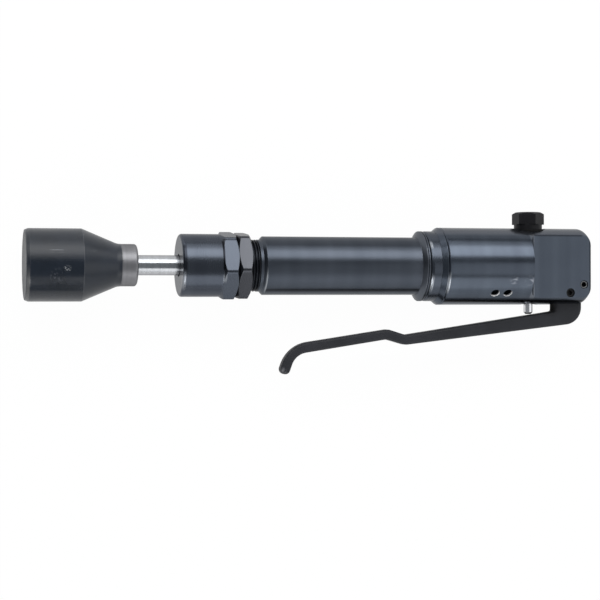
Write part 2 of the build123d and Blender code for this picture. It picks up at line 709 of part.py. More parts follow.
# Throttle lever: forged bar with a step, a hooked tip and an ear in the slot,
# drawn with the underside of the body at y = 0
heel_top = STOP_DEPTH - STOP_RADIUS - STOP_GAP
ear_front = PIVOT_X - EAR_RADIUS
half_tip = LEVER_TIP / 2
tip_along = (-math.sin(math.radians(LEVER_TIP_LEAN)), -math.cos(math.radians(LEVER_TIP_LEAN)))
tip_across = (-tip_along[1], tip_along[0])


def tip_corner(side):
    """Corner of the hooked tip on one side of its middle line."""
    along = half_tip
    across = side * half_tip
    x = LEVER_TIP_X + along * tip_along[0] + across * tip_across[0]
    y = -LEVER_TIP_DROP + along * tip_along[1] + across * tip_across[1]
    return x, y


lever_corners = [
    (ear_front, PIVOT_DEPTH, 0),
    (ear_front, -LEVER_FOOT_DROP, LEVER_FOOT_RADIUS),
    (LEVER_STEP_X, -LEVER_STEP_DROP, LEVER_STEP_RADIUS),
    (LEVER_RISE_X, -LEVER_RISE_DROP, LEVER_RISE_RADIUS),
    (LEVER_BEND_X, -LEVER_BEND_DROP, LEVER_BEND_RADIUS),
    (*tip_corner(-1), LEVER_TIP_ROUND),
    (*tip_corner(1), LEVER_TIP_ROUND),
    (LEVER_CROOK_X, -LEVER_CROOK_DROP, LEVER_CROOK_RADIUS),
    (LEVER_RISE_X - LEVER_UNDER_SHIFT, -LEVER_RISE_DROP - LEVER_TIP, LEVER_RISE_RADIUS),
    (LEVER_STEP_X, -LEVER_STEP_DROP - LEVER_TIP, LEVER_KNUCKLE_RADIUS),
    (LEVER_HEEL_X, -LEVER_HEEL_DROP, LEVER_HEEL_RADIUS),
    (LEVER_HEEL_X, heel_top, LEVER_HEEL_EDGE),
    (PIVOT_X, heel_top, 0),
]
lever_face = make_face(Polyline(*[(x, y) for x, y, radius in lever_corners], close=True))
for x, y, radius in lever_corners:
    if radius > 0:
        spot = lever_face.vertices().sort_by_distance((x, y, 0))[0]
        lever_face = fillet(spot, radius)
lever_face += Pos(PIVOT_X, PIVOT_DEPTH) * Circle(EAR_RADIUS)
lever_face = Pos(0, -BODY_RADIUS) * lever_face
lever = extrude(lever_face, LEVER_WIDTH / 2, both=True)
tip_end = LEVER_TIP_X - LEVER_TIP
lever_plan = make_face(Polyline(
    (0, LEVER_WIDTH / 2),
    (tip_end, LEVER_TIP_WIDTH / 2),
    (tip_end, -LEVER_TIP_WIDTH / 2),
    (0, -LEVER_WIDTH / 2),
    close=True,
))
lever_reach = BODY_RADIUS + LEVER_TIP_DROP + LEVER_TIP
lever &= Rot(90, 0, 0) * extrude(lever_plan, lever_reach, both=True)
sides = lever.faces().filter_by(lambda f: abs(f.normal_at().Z) > 0.9)
lever = fillet(sides.edges(), LEVER_EDGE)
lever -= rod_along_z(PIVOT_X, pivot_y, -LEVER_WIDTH, LEVER_WIDTH, PIVOT_RADIUS + RUNNING_PLAY)
WORK["throttle_lever"] = lever

# Lever pivot screw with its hexagon socket, and the hollow stop pin
pivot_reach = FLAT_HALF - PIVOT_SUNK
pivot = rod_along_z(PIVOT_X, pivot_y, -pivot_reach, pivot_reach, PIVOT_RADIUS)
key = RegularPolygon(PIVOT_SOCKET_FLATS / 2, 6, major_radius=False)
key_hole = extrude(key, PIVOT_SOCKET_DEPTH + 1)
WORK["lever_pivot_screw"] = pivot - Pos(PIVOT_X, pivot_y, pivot_reach - PIVOT_SOCKET_DEPTH) * key_hole
stop_reach = FLAT_HALF - STOP_SUNK
stop = rod_along_z(STOP_X, stop_y, -stop_reach, stop_reach, STOP_RADIUS)
WORK["lever_stop_pin"] = stop - rod_along_z(STOP_X, stop_y, -BODY_RADIUS, BODY_RADIUS, STOP_BORE_RADIUS)

# Inlet strainer: a thin cup with a drilled end
strainer_outer = INLET_BORE_RADIUS - RUNNING_PLAY
strainer_front = -INLET_DEPTH - STRAINER_LENGTH
strainer = turned([
    (strainer_front, 0),
    (strainer_front, strainer_outer),
    (-INLET_DEPTH, strainer_outer),
    (-INLET_DEPTH, strainer_outer - STRAINER_WALL),
    (strainer_front + STRAINER_WALL, strainer_outer - STRAINER_WALL),
    (strainer_front + STRAINER_WALL, 0),
])
for i in range(6):
    y, z = on_circle(STRAINER_CIRCLE, 60 * i)
    strainer -= rod_along_x(strainer_front - 1, strainer_front + 2, STRAINER_HOLE_RADIUS, y, z)
WORK["inlet_strainer"] = strainer

os.makedirs("parts", exist_ok=True)
for name, shape in WORK.items():
    export_step(shape, f"parts/{name}.step")
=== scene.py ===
import json
import math

import bpy
from mathutils import Matrix, Vector


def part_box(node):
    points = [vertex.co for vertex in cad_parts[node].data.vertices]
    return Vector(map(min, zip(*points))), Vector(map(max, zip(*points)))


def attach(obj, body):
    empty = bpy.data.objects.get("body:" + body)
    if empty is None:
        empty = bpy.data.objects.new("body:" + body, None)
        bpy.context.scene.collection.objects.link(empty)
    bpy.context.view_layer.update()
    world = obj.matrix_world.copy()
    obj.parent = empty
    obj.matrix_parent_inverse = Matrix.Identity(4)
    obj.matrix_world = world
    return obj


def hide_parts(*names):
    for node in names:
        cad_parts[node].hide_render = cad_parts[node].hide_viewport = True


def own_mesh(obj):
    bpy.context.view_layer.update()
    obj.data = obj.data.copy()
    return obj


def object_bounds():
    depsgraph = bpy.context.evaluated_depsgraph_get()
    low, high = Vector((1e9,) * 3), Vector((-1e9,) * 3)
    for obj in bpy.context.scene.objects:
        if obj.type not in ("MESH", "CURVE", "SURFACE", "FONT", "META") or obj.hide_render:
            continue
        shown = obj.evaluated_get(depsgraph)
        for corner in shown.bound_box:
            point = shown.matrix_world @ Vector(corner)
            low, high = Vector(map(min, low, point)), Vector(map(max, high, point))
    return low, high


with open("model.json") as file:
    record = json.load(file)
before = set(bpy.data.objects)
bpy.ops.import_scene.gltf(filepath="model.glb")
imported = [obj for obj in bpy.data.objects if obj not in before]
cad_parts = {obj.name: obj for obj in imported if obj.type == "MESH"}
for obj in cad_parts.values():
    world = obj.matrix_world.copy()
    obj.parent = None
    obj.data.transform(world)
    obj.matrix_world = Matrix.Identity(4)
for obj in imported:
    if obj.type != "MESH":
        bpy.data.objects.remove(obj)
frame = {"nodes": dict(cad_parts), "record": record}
cad_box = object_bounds()

# The tool axis is X, with the butt towards -X and the air inlet at X = 0. The valve cap points
# to +Y, the lever hangs to -Y, and the tool lies on its side on the floor. Lengths are in metres.

# Camera of the photograph, with its angles in degrees
LENS = 96.0
SENSOR = 36.0
YAW = 13.5
ROLL = -0.09
DISTANCE = 1.0571
AXIS_POINT = Vector((-0.200, 0.0, 0.0))
AXIS_RISE = 0.0226

# Paper floor: share of plain white in it as the camera sees it, the rest shows the shadow
PAPER_WHITE = 0.975
FLOOR_SIZE = 60
FLOOR_MIDDLE = -0.2

WORLD_COLOR = (0.9, 0.95, 1.0, 1)
WORLD_STRENGTH = 0.25

# Softboxes: degrees from the line of sight towards the cap side and towards the inlet end,
# slide and length along the tool, and degrees by which the inlet end of a box is turned up
# towards the cap side
SOFTBOXES = {
    "key_softbox": dict(
        cap_side=48.2, inlet_end=0, distance=0.90, slide=0.25, length=1.70, width=0.57,
        brightness=3.3, tilt=6),
    "top_softbox": dict(
        cap_side=75.5, inlet_end=0, distance=0.90, slide=0.25, length=1.70, width=0.31,
        brightness=1.15),
    "fill_softbox": dict(
        cap_side=-57, inlet_end=0, distance=0.95, slide=0.54, length=0.90, width=0.60,
        brightness=1.50),
    "low_softbox": dict(
        cap_side=-84, inlet_end=0, distance=0.95, slide=0.50, length=1.00, width=0.40,
        brightness=0.85),
    "end_softbox": dict(
        cap_side=-8, inlet_end=62, distance=1.00, slide=0.25, length=1.50, width=0.60,
        brightness=1.0),
    "butt_softbox": dict(
        cap_side=-48, inlet_end=-28, distance=0.95, slide=0.0, length=0.42, width=0.45,
        brightness=4.6),
    "side_softbox": dict(
        cap_side=-32, inlet_end=-72, distance=1.00, slide=0.0, length=0.45, width=0.50,
        brightness=1.1),
}


def sight_lines():
    """The camera's right, up and forward, before its roll."""
    yaw = math.radians(YAW)
    right = Vector((math.cos(yaw), 0, math.sin(yaw)))
    forward = Vector((math.sin(yaw), 0, -math.cos(yaw)))
    return right, right.cross(forward), forward


def set_up(thing, place, axes, roll):
    """Puts the camera or a lamp into the scene with its own axes along the given lines."""
    turn = Matrix(axes).transposed().to_4x4()
    spin = Matrix.Rotation(math.radians(roll), 4, "Z")
    thing.matrix_world = Matrix.Translation(place) @ turn @ spin
    bpy.context.scene.collection.objects.link(thing)


def add_camera():
    right, up, forward = sight_lines()
    data = bpy.data.cameras.new("photo_camera")
    data.lens = LENS
    data.sensor_width = SENSOR
    camera = bpy.data.objects.new("photo_camera", data)
    place = AXIS_POINT - up * AXIS_RISE - forward * DISTANCE
    set_up(camera, place, (right, up, -forward), ROLL)
    bpy.context.scene.camera = camera


def add_softbox(name, cap_side, inlet_end, distance, slide, length, width, brightness, tilt=0):
    right, up, forward = sight_lines()
    rise = math.radians(cap_side)
    swing = math.radians(inlet_end)
    level = right * math.sin(swing) - forward * math.cos(swing)
    away = level * math.cos(rise) + up * math.sin(rise)
    along = up.cross(away).normalized()
    data = bpy.data.lights.new(name, "AREA")
    data.shape = "RECTANGLE"
    data.size = length
    data.size_y = width
    data.energy = brightness * math.pi * length * width
    lamp = bpy.data.objects.new(name, data)
    lamp.visible_camera = False
    place = AXIS_POINT + away * distance + along * slide
    set_up(lamp, place, (along, away.cross(along), away), tilt)


def add_world():
    world = bpy.data.worlds.new("studio")
    world.use_nodes = True
    sky = world.node_tree.nodes["Background"]
    sky.inputs["Color"].default_value = WORLD_COLOR
    sky.inputs["Strength"].default_value = WORLD_STRENGTH
    bpy.context.scene.world = world


# Finishes


def tint(*rgb):
    return (*rgb, 1.0)


def darker(color, share):
    return tint(*(c * share for c in color[:3]))


class Finish:
    """A procedural finish read from Object coordinates, built up node by node."""

    # Rays that look for edges and nooks, and how far a nook reaches
    SAMPLES = 6
    NOOK_REACH = 0.0012

    def __init__(self, name, metallic=0.0, specular=0.5, rim=1.0):
        self.mat = bpy.data.materials.new(name)
        self.mat.use_nodes = True
        self.tree = self.mat.node_tree
        self.shader = self.tree.nodes["Principled BSDF"]
        self.set(self.shader, "Metallic", metallic)
        self.set(self.shader, "Specular_IOR_Level", specular)
        self.set(self.shader, "Specular_Tint", tint(rim, rim, rim))
        self.set(self.shader, "IOR", 1.5)
        self.place = self.add("ShaderNodeTexCoord").outputs["Object"]

    def add(self, kind, **inputs):
        node = self.tree.nodes.new(kind)
        for name, value in inputs.items():
            self.set(node, name, value)
        return node

    def set(self, node, name, value):
        """Sets or links an input, named with _ for a space, or i and its number."""
        numbered = name[:1] == "i" and name[1:].isdigit()
        key = int(name[1:]) if numbered else name.replace("_", " ")
        if isinstance(value, bpy.types.NodeSocket):
            self.tree.links.new(value, node.inputs[key])
        else:
            node.inputs[key].default_value = value

    def math(self, operation, a, b):
        node = self.add("ShaderNodeMath", i0=a, i1=b)
        node.operation = operation
        return node.outputs[0]

    def times(self, a, b):
        return self.math("MULTIPLY", a, b)

    def plus(self, a, b):
        return self.math("ADD", a, b)

    def vectors(self, operation, a, b):
        node = self.add("ShaderNodeVectorMath", i0=a, i1=b)
        node.operation = operation
        return node.outputs["Value"]

    def grain(self, scale, density=(1, 1, 1), detail=2, roughness=0.5):
        """Noise, drawn out along the axes whose density is small."""
        spread = self.add("ShaderNodeMapping", Vector=self.place, Scale=density)
        noise = self.add(
            "ShaderNodeTexNoise", Vector=spread.outputs[0], Scale=scale, Detail=detail,
            Roughness=roughness)
        return noise.outputs["Fac"]

    def ramp(self, value, low, high, start=0.0, end=1.0):
        node = self.add(
            "ShaderNodeMapRange", Value=value, From_Min=low, From_Max=high, To_Min=start,
            To_Max=end)
        return node.outputs[0]

    def blend(self, share, first, second):
        node = self.add("ShaderNodeMix")
        node.data_type = "RGBA"
        self.set(node, "i0", share)
        self.set(node, "i6", first)
        self.set(node, "i7", second)
        return node.outputs[2]

    def along(self, axis):
        return self.add("ShaderNodeSeparateXYZ", Vector=self.place).outputs[axis]

    def distance(self, middle):
        return self.vectors("DISTANCE", self.place, middle)

    def spot(self, middle, size):
        """Soft round patch about a point of the piece."""
        return self.ramp(self.distance(middle), size, size * 0.4)

    def span(self, low, high, axis="X", soft=0.0003):
        """Soft-ended stretch along an axis of the tool."""
        place = self.along(axis)
        return self.times(self.ramp(place, low, low + soft), self.ramp(place, high, high - soft))

    def nooks(self):
        """Mask that is 1 deep in grooves, corners and thread roots, where shade falls."""
        near = self.add("ShaderNodeAmbientOcclusion", Distance=self.NOOK_REACH)
        near.samples = self.SAMPLES
        return self.ramp(near.outputs["AO"], 0.75, 0.35)

    def rounded(self, width):
        """Normal that rounds the edges of the piece."""
        bevel = self.add("ShaderNodeBevel", Radius=width)
        bevel.samples = self.SAMPLES
        return bevel.outputs[0]

    def edges(self, rounded, flat=0.98, sharp=0.80):
        """Mask that is 1 on outer edges, where the rounded normal leaves the true one."""
        true = self.add("ShaderNodeNewGeometry").outputs["True Normal"]
        return self.ramp(self.vectors("DOT_PRODUCT", rounded, true), flat, sharp)

    def bump(self, height, distance, normal):
        node = self.add(
            "ShaderNodeBump", Strength=1.0, Distance=distance, Height=height, Normal=normal)
        return node.outputs[0]

    def done(self, color, roughness, normal):
        self.set(self.shader, "Base Color", color)
        self.set(self.shader, "Roughness", roughness)
        self.set(self.shader, "Normal", normal)
        return self.mat


def add_floor():
    bpy.ops.object.select_all(action="DESELECT")
    middle = (FLOOR_MIDDLE, 0, cad_box[0][2])
    bpy.ops.mesh.primitive_plane_add(size=FLOOR_SIZE, location=middle)
    floor = bpy.context.object
    floor.name = "floor"
    f = Finish("white_paper", specular=0.1)
    f.set(f.shader, "Base Color", tint(0.92, 0.92, 0.92))
    f.set(f.shader, "Roughness", 0.9)
    seen = f.add("ShaderNodeLightPath").outputs
    shown = f.math("MAXIMUM", seen["Is Camera Ray"], seen["Is Glossy Ray"])
    shown = f.math("MAXIMUM", shown, seen["Is Transmission Ray"])
    glow = f.add("ShaderNodeEmission", Color=tint(1, 1, 1), Strength=1.0)
    mix = f.add(
        "ShaderNodeMixShader", Fac=f.times(shown, PAPER_WHITE), i1=f.shader.outputs[0],
        i2=glow.outputs[0])
    f.set(f.tree.nodes["Material Output"], "Surface", mix.outputs[0])
    floor.data.materials.append(f.mat)


# Turning marks: fine along the tool axis, drawn out round it
TURNED = (1, 0.003, 0.003)

# What shows on blackened steel
WORN_EDGE = tint(0.22, 0.23, 0.25)
RUBBED_STEEL = tint(0.24, 0.25, 0.28)
# Painted highlight: colour of light patches where chamfers and fillets catch the light
PAINTED_HIGHLIGHT = tint(0.42, 0.44, 0.47)
# Painted shade: colour of the dark bands drawn where the steel's reflections fall dark
SHADE_BAND_COLOR = tint(0.004, 0.004, 0.006)
# Painted shade: colour drawn deep in grooves, corners and thread roots
NOOK_SHADE_COLOR = tint(0.006, 0.006, 0.008)

# Heights between which the head turns lighter on its cap side: a painted reflection
LIGHTER_TOP_HEIGHTS = (0.0200, 0.0222)


def blackened_steel(
        name, dark, light, rough=0.27, wear=0.35, soften=0.0006,
        rubs=(), highlights=(), shade_bands=(), film=None, lighter_top=None):
    """Turned steel with a black oxide finish, cloudy, oiled tone, worn edges and painted shade in
    grooves.

    A rub is a middle and a size. A highlight patch, a painted highlight, is a middle, a size, its
    front, its rear and a share. A shade band, a painted dark band of shade, is a low and a high
    edge, its front, its rear and a share. A dull film is a low and a high edge and the roughness
    that it adds. The lighter top, a painted reflection, is the colour of the cap side's top.
    """
    f = Finish(name, metallic=0.96, rim=0.70)
    marks = f.grain(2400, TURNED)
    bands = f.grain(95, (1, 0.02, 0.02), detail=1)
    cloud = f.grain(30)
    rounded = f.rounded(soften)
    tone = f.plus(f.times(cloud, 0.5), f.times(bands, 0.5))
    color = f.blend(f.ramp(tone, 0.38, 0.62), dark, light)
    worn = f.times(f.edges(rounded, 0.995, 0.90), f.ramp(f.grain(900), 0.35, 0.6))
    color = f.blend(f.times(worn, wear), color, WORN_EDGE)
    for middle, size in rubs:
        scratches = f.ramp(f.grain(420, (0.5, 1, 1), detail=3), 0.46, 0.58)
        rub = f.times(f.spot(middle, size), scratches)
        color = f.blend(f.times(rub, 0.7), color, RUBBED_STEEL)
    # Painted reflection: the cap side's top turns lighter above these heights
    if lighter_top is not None:
        color = f.blend(f.ramp(f.along("Y"), *LIGHTER_TOP_HEIGHTS), color, lighter_top)
    # Painted shade: dark bands along the steel where its reflections fall dark
    for low, high, front, rear, share in shade_bands:
        soft = min(0.3 * (high - low), 0.0015)
        line = f.times(f.span(low, high, "Y", soft), f.span(front, rear))
        color = f.blend(f.times(line, share), color, SHADE_BAND_COLOR)
    # Painted shade: darker deep in grooves, corners and thread roots
    nook_shade = f.nooks()
    color = f.blend(f.times(nook_shade, 0.9), color, NOOK_SHADE_COLOR)
    # Painted highlights: light patches where chamfers and fillets catch the light
    for middle, size, front, rear, share in highlights:
        patch = f.times(f.spot(middle, size), f.span(front, rear))
        color = f.blend(f.times(patch, share), color, PAINTED_HIGHLIGHT)
    roughness = f.ramp(marks, 0.3, 0.7, rough - 0.006, rough + 0.006)
    roughness = f.plus(roughness, f.ramp(cloud, 0.3, 0.7, -0.02, 0.02))
    roughness = f.plus(roughness, f.times(nook_shade, 0.2))
    if film is not None:
        low, high, dull = film
        roughness = f.plus(roughness, f.times(f.span(low, high, "Y", 0.004), dull))
    return f.done(color, roughness, f.bump(marks, 0.0000006, rounded))


# Scuffs on the rubber butt and a painted highlight on its rim: middle and size of each patch
BUTT_STREAK = ((-0.3607, 0.0090, 0.0216), 0.0065)
BUTT_SMUDGE = ((-0.3612, -0.0073, 0.0222), 0.0055)
BUTT_CHIPS = ((-0.3546, -0.0027, 0.0232), 0.0028)
# Painted highlight: lighter patch low on the butt's front rim
BUTT_RIM_HIGHLIGHT = ((-0.3786, -0.0160, 0.0165), 0.018)

# The streak's bands: low edge, high edge and share
BUTT_STREAK_BANDS = [(0.0084, 0.0096, 0.45), (0.0070, 0.0080, 0.18)]

# Stretches of the butt along the axis, and the heights of its smoother side
BUTT_FACE = (-0.3810, -0.3797)
BUTT_RIM = (-0.3797, -0.3776)
BUTT_SMOOTH = (-0.3785, -0.3440)
BUTT_SMOOTH_HEIGHTS = (-0.0215, 0.0040)


def moulded_rubber(name):
    """Black rubber with fine mould grain, dusty scuffs, pale chips and a painted rim highlight.
    """
    f = Finish(name, specular=0.42)
    cloud = f.grain(45, detail=5, roughness=0.65)
    rounded = f.rounded(0.0007)
    color = f.blend(
        f.ramp(cloud, 0.3, 0.75), tint(0.006, 0.009, 0.014), tint(0.011, 0.016, 0.026))
    dust = f.ramp(f.grain(200, (0.35, 1, 1), detail=5, roughness=0.7), 0.62, 0.80)
    color = f.blend(f.times(dust, 0.25), color, tint(0.09, 0.10, 0.11))
    for low, high, share in BUTT_STREAK_BANDS:
        streak = f.times(f.spot(*BUTT_STREAK), f.span(low, high, "Y", 0.0005))
        streak = f.times(streak, f.ramp(f.grain(900, (0.3, 1, 1)), 0.35, 0.60))
        color = f.blend(f.times(streak, share), color, tint(0.16, 0.17, 0.19))
    smudge = f.times(f.spot(*BUTT_SMUDGE), f.ramp(f.grain(900, (1, 0.6, 0.6)), 0.52, 0.62))
    color = f.blend(f.times(smudge, 0.4), color, tint(0.10, 0.105, 0.125))
    chips = f.times(f.spot(*BUTT_CHIPS), f.ramp(f.grain(1700, detail=1), 0.58, 0.64))
    color = f.blend(f.times(chips, 0.7), color, tint(0.40, 0.41, 0.42))
    edge = f.edges(rounded, 0.999, 0.985)
    color = f.blend(f.times(edge, 0.5), color, tint(0.10, 0.105, 0.115))
    # Painted highlight low on the front rim
    rim = f.times(f.spot(*BUTT_RIM_HIGHLIGHT), f.span(*BUTT_RIM))
    color = f.blend(f.times(rim, 0.7), color, tint(0.10, 0.10, 0.10))
    smooth = f.times(
        f.span(*BUTT_SMOOTH_HEIGHTS, "Y", 0.004), f.span(*BUTT_SMOOTH, soft=0.001))
    roughness = f.ramp(cloud, 0.3, 0.75, 0.30, 0.40)
    roughness = f.math("SUBTRACT", roughness, f.times(smooth, 0.14))
    roughness = f.plus(roughness, f.times(f.span(*BUTT_FACE, soft=0.0002), 0.13))
    return f.done(color, roughness, f.bump(f.grain(2200, detail=3), 0.00003, rounded))


# Width of the border between a bright end and the black round it, which is painted shade
END_FADE = 0.0002


def turned_bright(name, color, rough, marks_depth, metallic=1.0, rim=0.6, ends=(), shown=0.0):
    """Bare turned steel with fine rings.

    A piece with ends is bright within the shown distance of those points and black round them,
    painted shade of the gap round the piece.
    """
    f = Finish(name, metallic=metallic, rim=rim)
    marks = f.grain(1900, TURNED, detail=3)
    rings = f.grain(420, (1, 0.004, 0.004), detail=1)
    cloud = f.grain(60, detail=4, roughness=0.6)
    tone = f.plus(f.times(cloud, 0.4), f.times(rings, 0.6))
    shade = f.blend(f.ramp(tone, 0.35, 0.65), darker(color, 0.80), color)
    # Painted shade: black round the bright ends
    if ends:
        bright = 0.0
        for middle in ends:
            near = f.ramp(f.distance(middle), shown + END_FADE, shown)
            bright = f.math("MAXIMUM", bright, near)
        shade = f.blend(bright, tint(0.012, 0.012, 0.014), shade)
    roughness = f.ramp(marks, 0.3, 0.7, rough * 0.95, rough * 1.05)
    roughness = f.plus(roughness, f.ramp(cloud, 0.3, 0.7, -0.02, 0.02))
    return f.done(shade, roughness, f.bump(marks, marks_depth, f.rounded(0.0005)))


def forged_black(name, dark, light, rough, gloss, shadows=(), rubs=()):
    """Forged, blackened steel, matt, with fine pitting, rubbed edges and painted shade in
    corners.

    The patches of painted shade and the rubs are a middle and a size each.
    """
    f = Finish(name, specular=gloss)
    cloud = f.grain(50, detail=4, roughness=0.6)
    pits = f.grain(900, detail=4, roughness=0.6)
    rounded = f.rounded(0.0006)
    color = f.blend(f.ramp(cloud, 0.3, 0.7), dark, light)
    color = f.blend(f.times(f.edges(rounded), 0.10), color, tint(0.07, 0.075, 0.085))
    for middle, size in rubs:
        rub = f.times(f.spot(middle, size), f.ramp(f.grain(700), 0.38, 0.58))
        color = f.blend(f.times(rub, 0.7), color, tint(0.17, 0.17, 0.18))
    # Painted shade: darker deep in nooks and in the shaded patches
    painted_shade_mask = f.nooks()
    for middle, size in shadows:
        painted_shade_mask = f.math("MAXIMUM", painted_shade_mask, f.spot(middle, size))
    color = f.blend(painted_shade_mask, color, tint(0.002, 0.002, 0.002))
    roughness = f.ramp(cloud, 0.3, 0.7, rough - 0.06, rough + 0.06)
    roughness = f.math("MAXIMUM", roughness, painted_shade_mask)
    return f.done(color, roughness, f.bump(pits, 0.00004, rounded))


def plain_finish(name, color, metallic, rough, grain_scale):
    """Inner pieces: a cloudy colour, fine grain and softened edges."""
    f = Finish(name, metallic=metallic)
    cloud = f.grain(90, detail=4, roughness=0.6)
    grit = f.grain(grain_scale, detail=3)
    shade = f.blend(f.ramp(cloud, 0.3, 0.7), darker(color, 0.75), color)
    roughness = f.ramp(grit, 0.3, 0.7, rough - 0.06, rough + 0.06)
    return f.done(shade, roughness, f.bump(grit, 0.00003, f.rounded(0.0003)))


# Finish of each material slot
# Painted shadow on the lever where it sits under the head
LEVER_SHADOWS = [((-0.0243, -0.0285, 0.0), 0.0085)]
LEVER_RUBS = [((-0.2127, -0.0696, 0.0052), 0.0034)]
FINISHES = {
    "rubber_black": moulded_rubber("moulded_rubber"),
    "turned_steel": turned_bright(
        "turned_collar", tint(0.22, 0.22, 0.23), 0.40, 0.00002, metallic=0.8, rim=0.40),
    "ground_steel": turned_bright(
        "ground_rod", tint(0.50, 0.51, 0.53), 0.20, 0.000002, rim=0.45),
    "black_steel": blackened_steel(
        "blackened_steel", tint(0.058, 0.067, 0.084), tint(0.073, 0.084, 0.103)),
    "black_lever": forged_black(
        "forged_lever", tint(0.014, 0.015, 0.018), tint(0.022, 0.023, 0.028), rough=0.56,
        gloss=0.25, shadows=LEVER_SHADOWS, rubs=LEVER_RUBS),
    "bronze": plain_finish("bearing_bronze", tint(0.55, 0.38, 0.16), 1.0, 0.35, 1500),
    "seal_rubber": plain_finish("seal_rubber", tint(0.022, 0.022, 0.023), 0.0, 0.55, 2500),
    "chest_steel": plain_finish("hardened_steel", tint(0.42, 0.43, 0.44), 1.0, 0.32, 1800),
    "spring_steel": plain_finish("spring_wire", tint(0.50, 0.50, 0.52), 1.0, 0.28, 2200),
    "pin_steel": turned_bright("bright_pin", tint(0.80, 0.80, 0.82), 0.25, 0.00001, rim=0.15),
    "mesh_brass": plain_finish("drilled_brass", tint(0.60, 0.50, 0.25), 1.0, 0.35, 1500),
}

# Pieces whose finish differs from the rest of their slot
HEAD_RUBS = [((-0.0588, -0.0096, 0.0242), 0.0035), ((-0.0475, -0.0098, 0.0238), 0.0040)]
# Painted highlights on the head: behind its front chamfer and at the start of the flats
HEAD_HIGHLIGHTS = [
    ((-0.1043, -0.0120, 0.0228), 0.0085, -0.1054, -0.1031, 0.95),
    ((-0.0438, 0.0188, 0.0168), 0.0065, -0.0448, -0.0410, 0.12),
    ((-0.0438, -0.0175, 0.0175), 0.0080, -0.0448, -0.0410, 0.18),
]
# Painted shade on the head: under it, along its cap side, on the flat's border and rear edge
HEAD_SHADE_BANDS = [
    (-0.0245, -0.0226, -0.1040, -0.0005, 0.97),
    (0.0165, 0.0215, -0.1040, -0.0450, 0.20),
    (0.0200, 0.0216, -0.0440, -0.0060, 0.55),
    (-0.0190, 0.0190, -0.0010, 0.0005, 0.85),
]
# Painted highlights on the lock ring's rounded front edge, low and high
RING_HIGHLIGHTS = [
    ((-0.1156, -0.0118, 0.0195), 0.0075, -0.1167, -0.1138, 0.50),
    ((-0.1150, 0.0139, 0.0186), 0.0035, -0.1160, -0.1138, 0.40),
]
# Painted highlights on the barrel's flange and on its shoulder's chamfer
BARREL_HIGHLIGHTS = [
    ((-0.1195, 0.0, 0.0), 0.0900, -0.1208, -0.1183, 0.06),
    ((-0.2257, -0.0115, 0.0153), 0.0115, -0.2264, -0.2253, 0.60),
]
# Painted shade on the barrel: dark bands along its underside and along its cap side
BARREL_SHADE_BANDS = [
    (-0.0175, -0.0150, -0.2260, -0.1210, 0.65),
    (0.0120, 0.0172, -0.2260, -0.1210, 0.22),
]
BARREL_FILM = (-0.0155, 0.0020, 0.14)
# Painted shade on the lock nut: its lower facets darker, and a dark line at its upper edge
NUT_SHADE_BANDS = [
    (-0.0260, -0.0040, -0.2450, -0.2350, 0.35),
    (0.0173, 0.0184, -0.2445, -0.2350, 0.60),
]
# Painted highlights on the gland's front edge and where it meets the hex
GLAND_HIGHLIGHTS = [
    ((-0.2802, -0.0105, 0.0175), 0.0085, -0.2812, -0.2788, 0.42),
    ((-0.2537, -0.0088, 0.0195), 0.0040, -0.2550, -0.2525, 0.30),
]
# Painted shade on the gland: dark bands along it, at its front edge and where it meets the hex
GLAND_SHADE_BANDS = [
    (0.0130, 0.0185, -0.2795, -0.2550, 0.20),
    (-0.0175, -0.0125, -0.2795, -0.2550, 0.20),
    (-0.0050, 0.0135, -0.2808, -0.2783, 0.60),
    (-0.0040, 0.0165, -0.2553, -0.2537, 0.85),
    (0.0158, 0.0168, -0.2545, -0.2440, 0.85),
]
# Painted shade: the stop pin is black round these bright ends
STOP_PIN_ENDS = [(-0.0048, -0.0124, 0.0145), (-0.0048, -0.0124, -0.0145)]
OWN_FINISHES = {
    "throttle_body": blackened_steel(
        "head_steel", tint(0.058, 0.069, 0.088), tint(0.073, 0.087, 0.109), rough=0.23,
        wear=0.4, soften=0.00012, rubs=HEAD_RUBS, highlights=HEAD_HIGHLIGHTS, shade_bands=HEAD_SHADE_BANDS,
        lighter_top=tint(0.098, 0.107, 0.126)),
    "barrel": blackened_steel(
        "barrel_steel", tint(0.057, 0.066, 0.082), tint(0.070, 0.080, 0.098), rough=0.32,
        highlights=BARREL_HIGHLIGHTS, shade_bands=BARREL_SHADE_BANDS, film=BARREL_FILM),
    "barrel_lock_ring": blackened_steel(
        "lock_ring_steel", tint(0.058, 0.067, 0.084), tint(0.073, 0.084, 0.103),
        highlights=RING_HIGHLIGHTS),
    "gland_nut": blackened_steel(
        "gland_steel", tint(0.063, 0.072, 0.090), tint(0.079, 0.090, 0.110),
        highlights=GLAND_HIGHLIGHTS, shade_bands=GLAND_SHADE_BANDS),
    "lock_nut": blackened_steel(
        "lock_nut_steel", tint(0.060, 0.063, 0.071), tint(0.071, 0.074, 0.083), shade_bands=NUT_SHADE_BANDS),
    "valve_cap": forged_black(
        "bolt_black", tint(0.004, 0.004, 0.005), tint(0.007, 0.007, 0.009), 0.45, 0.18),
    "cap_gasket": forged_black(
        "gasket_black", tint(0.003, 0.003, 0.003), tint(0.006, 0.006, 0.006), 0.60, 0.12),
    "lever_pivot_screw": forged_black(
        "screw_black", tint(0.006, 0.006, 0.007), tint(0.010, 0.010, 0.011), 0.50, 0.25),
    "lever_stop_pin": turned_bright(
        "dull_pin", tint(0.26, 0.27, 0.28), 0.35, 0.00001, ends=STOP_PIN_ENDS, shown=0.0021),
}

